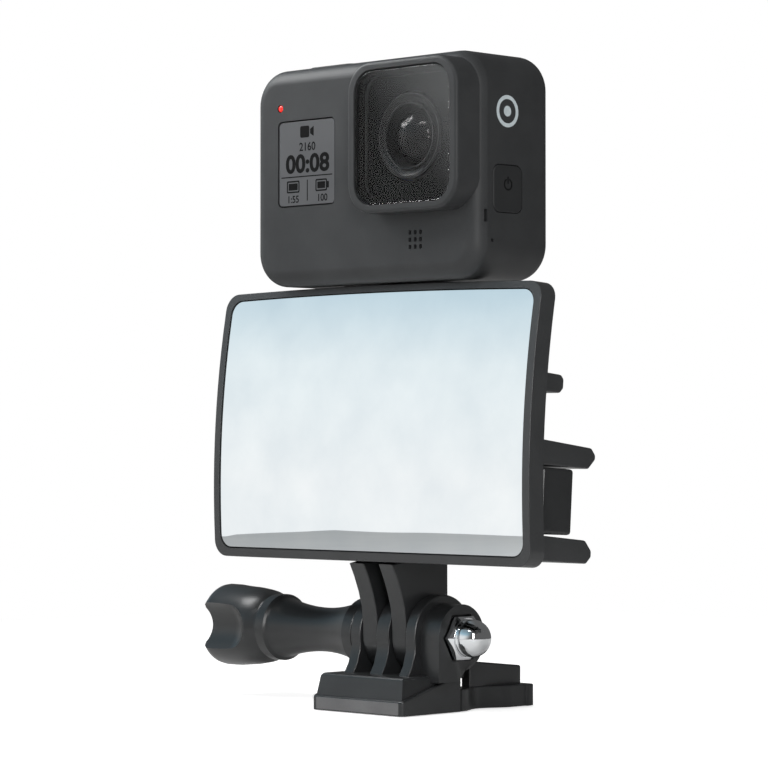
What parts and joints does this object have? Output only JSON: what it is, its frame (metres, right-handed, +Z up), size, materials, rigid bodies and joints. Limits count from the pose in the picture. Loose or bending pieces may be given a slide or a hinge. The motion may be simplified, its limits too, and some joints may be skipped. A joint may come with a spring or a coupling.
{
  "type": "action camera",
  "caption": "Compact action camera on a bracket with a clip-on convex selfie mirror, a quick-release buckle, a thumb screw and an acorn nut.",
  "frame": {"origin": "on the buckle bottom face, straight below the clamp screw axis", "axes": "+Z up, +X to the acorn nut side and the lens side of the camera, the lens and the mirror face -Y"},
  "size_m": [0.1058, 0.044, 0.1377],
  "materials": {
    "charcoal_polycarbonate": "fine textured charcoal polycarbonate, slightly soft to the touch",
    "black_nylon": "satin black glass-filled nylon, moulded",
    "frame_abs": "satin dark grey ABS",
    "soft_rubber": "matt black silicone rubber",
    "foam_pad": "closed-cell adhesive foam",
    "chrome_plate": "polished chrome plate",
    "bright_steel": "zinc plated steel",
    "mirror_silver": "front silvered convex acrylic mirror",
    "cover_glass": "coated flat cover glass",
    "lens_glass": "coated lens glass with a dark violet bloom",
    "display_glass": "grey reflective display behind clear plastic",
    "screen_glass": "black glossy touch screen",
    "red_lightguide": "red light guide",
    "circuit_board": "green solder mask board",
    "graphite_alloy": "stamped aluminium",
    "cell_wrap": "blue battery case"
  },
  "bodies": {
    "buckle": {"buckle_base": "black_nylon", "acorn_nut": "chrome_plate"},
    "release_arm_left": {"release_arm_left": "black_nylon"},
    "release_arm_right": {"release_arm_right": "black_nylon"},
    "screw_carriage": {"clamp_washer": "bright_steel"},
    "clamp_knob": {"clamp_knob": "black_nylon", "clamp_screw": "bright_steel"},
    "bracket": {"bracket": "black_nylon", "camera_screw_nut": "bright_steel"},
    "camera_screw_carriage": {"camera_washer": "bright_steel"},
    "camera_screw": {"camera_screw": "bright_steel", "camera_screw_knob": "black_nylon"},
    "mirror": {"mirror_frame": "frame_abs", "mirror_pad": "foam_pad", "mirror_glass": "mirror_silver"},
    "shutter_button": {"shutter_button": "charcoal_polycarbonate"},
    "mode_button": {"mode_button": "soft_rubber"},
    "side_door": {"side_door": "charcoal_polycarbonate", "door_seal": "soft_rubber"},
    "door_latch": {"door_latch": "charcoal_polycarbonate"},
    "camera": {"front_shell": "charcoal_polycarbonate", "rear_shell": "charcoal_polycarbonate", "lens_housing": "charcoal_polycarbonate", "lens_gasket": "soft_rubber", "lens_cover_glass": "cover_glass", "lens_mask": "soft_rubber", "lens_barrel": "black_nylon", "lens_dome": "lens_glass", "rear_lens_element": "lens_glass", "image_sensor": "screen_glass", "sensor_board": "circuit_board", "display_window": "display_glass", "display_panel": "screen_glass", "status_light": "red_lightguide", "speaker": "black_nylon", "shutter_switch": "graphite_alloy", "mode_switch": "graphite_alloy", "door_pin": "bright_steel", "battery": "cell_wrap", "memory_card": "black_nylon", "usb_socket": "bright_steel", "heat_spreader": "graphite_alloy", "main_board": "circuit_board", "rear_display_panel": "screen_glass", "rear_display_glass": "screen_glass", "finger_left": "black_nylon", "finger_right": "black_nylon", "finger_pin_left": "bright_steel", "finger_pin_right": "bright_steel"}
  },
  "joints": [
    {"name": "bracket_tilt", "type": "hinge", "parent": "buckle", "child": "bracket", "pos_m": [0, 0, 0.0156], "axis": [1, 0, 0], "range_deg": [-75, 60]},
    {"name": "camera_tilt", "type": "hinge", "parent": "bracket", "child": "camera", "pos_m": [0, 0.0006, 0.0815], "axis": [-1, 0, 0], "range_deg": [0, 60]},
    {"name": "mirror_unclip", "type": "slide", "parent": "bracket", "child": "mirror", "axis": [0, -0.9978, 0.0656], "range_m": [0, 0.022]},
    {"name": "screw_travel", "type": "slide", "parent": "buckle", "child": "screw_carriage", "axis": [-1, 0, 0], "range_m": [0, 0.0024]},
    {"name": "knob_turn", "type": "hinge", "parent": "screw_carriage", "child": "clamp_knob", "pos_m": [0, 0, 0.0156], "axis": [-1, 0, 0], "range_deg": [0, 1081]},
    {"name": "camera_screw_travel", "type": "slide", "parent": "bracket", "child": "camera_screw_carriage", "axis": [-1, 0, 0], "range_m": [0, 0.0024]},
    {"name": "camera_screw_turn", "type": "hinge", "parent": "camera_screw_carriage", "child": "camera_screw", "pos_m": [0, 0.0006, 0.0815], "axis": [-1, 0, 0], "range_deg": [0, 1081]},
    {"name": "release_left", "type": "hinge", "parent": "buckle", "child": "release_arm_left", "pos_m": [-0.0106, 0.0013, 0.0024], "axis": [0, 0, -1], "range_deg": [0, 4], "stiffness_Nm_per_rad": 0.6},
    {"name": "release_right", "type": "hinge", "parent": "buckle", "child": "release_arm_right", "pos_m": [0.0106, 0.0013, 0.0024], "axis": [0, 0, 1], "range_deg": [0, 4], "stiffness_Nm_per_rad": 0.6},
    {"name": "shutter_press", "type": "slide", "parent": "camera", "child": "shutter_button", "axis": [0, 0, -1], "range_m": [0, 0.0008], "stiffness_N_per_m": 900},
    {"name": "mode_press", "type": "slide", "parent": "camera", "child": "mode_button", "axis": [-1, 0, 0], "range_m": [0, 0.0006], "stiffness_N_per_m": 900},
    {"name": "door_swing", "type": "hinge", "parent": "camera", "child": "side_door", "pos_m": [-0.03185, -0.0034, 0.0993], "axis": [0, -1, 0], "range_deg": [0, 95]},
    {"name": "latch_slide", "type": "slide", "parent": "side_door", "child": "door_latch", "axis": [0, 0, -1], "range_m": [0, 0.002]}
  ],
  "couplings": [
    {"joint": "knob_turn", "follows": "screw_travel", "rad_per_m": 7854},
    {"joint": "camera_screw_turn", "follows": "camera_screw_travel", "rad_per_m": 7854}
  ]
}
